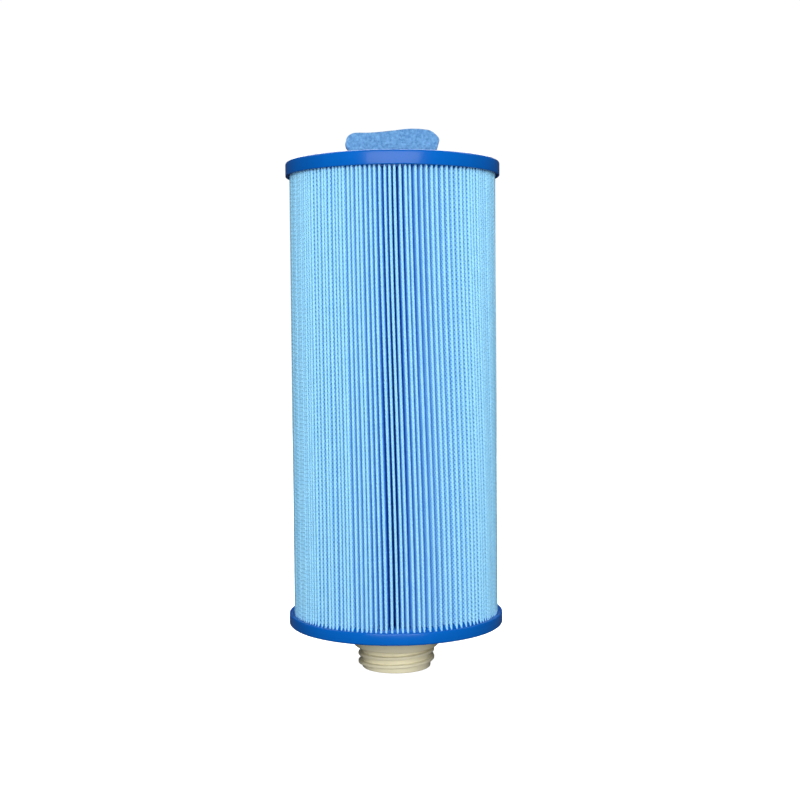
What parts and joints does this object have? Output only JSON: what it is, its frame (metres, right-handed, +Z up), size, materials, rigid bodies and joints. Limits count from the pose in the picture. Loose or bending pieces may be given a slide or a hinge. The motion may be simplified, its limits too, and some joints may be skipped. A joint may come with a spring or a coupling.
{
  "type": "spa filter cartridge",
  "caption": "Pleated spa filter cartridge: blue fabric pack between two cast end caps, a low grip on top and a coarse threaded spigot below.",
  "frame": {"origin": "centre of the threaded spigot's free end, on the cartridge's axis; the lowest point", "axes": "+Z up along the axis, from the spigot to the handle; X along the grip; +Y is the side with the pack's seam"},
  "size_m": [0.1254, 0.1254, 0.313],
  "materials": {
    "potting": "satin cast urethane",
    "handle": "frosted",
    "fabric": "point-bonded spunbond",
    "bead": "milky adhesive",
    "core": "moulded",
    "spigot": "satin moulded"
  },
  "bodies": {
    "root": {"top_end_cap": "potting", "bottom_end_cap": "potting", "handle": "handle", "pleat_pack": "fabric", "seam_bead": "bead", "core_lower": "core", "core_upper": "core", "threaded_spigot": "spigot"}
  },
  "joints": []
}
